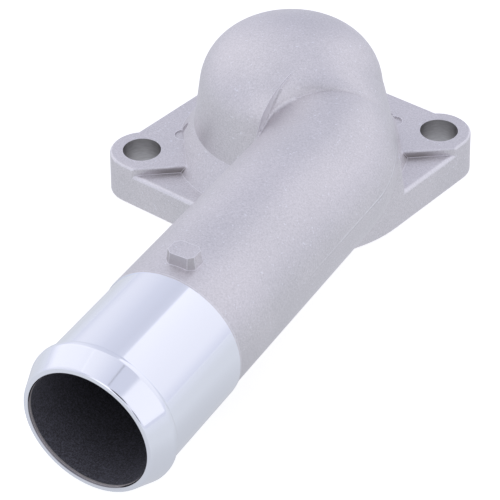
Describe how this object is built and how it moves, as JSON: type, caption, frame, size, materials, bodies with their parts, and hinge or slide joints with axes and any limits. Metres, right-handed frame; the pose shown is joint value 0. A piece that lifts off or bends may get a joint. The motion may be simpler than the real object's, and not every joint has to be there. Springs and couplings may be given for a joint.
{
  "type": "thermostat housing",
  "caption": "Cast aluminium coolant outlet housing: domed chamber on an eared bolt-on flange, with a bent side neck ending in a beaded hose spigot.",
  "frame": {"origin": "centre of the gasket face, on the chamber's axis", "axes": "+Z away from the gasket face, out through the dome; the neck runs along -Y and its mouth faces -Y; the bolt line is turned 35.6 degrees from +X towards +Y"},
  "size_m": [0.0848, 0.17, 0.0482],
  "materials": {
    "cast": "as cast, with a turned spigot"
  },
  "bodies": {
    "root": {"housing": "cast"}
  },
  "joints": []
}
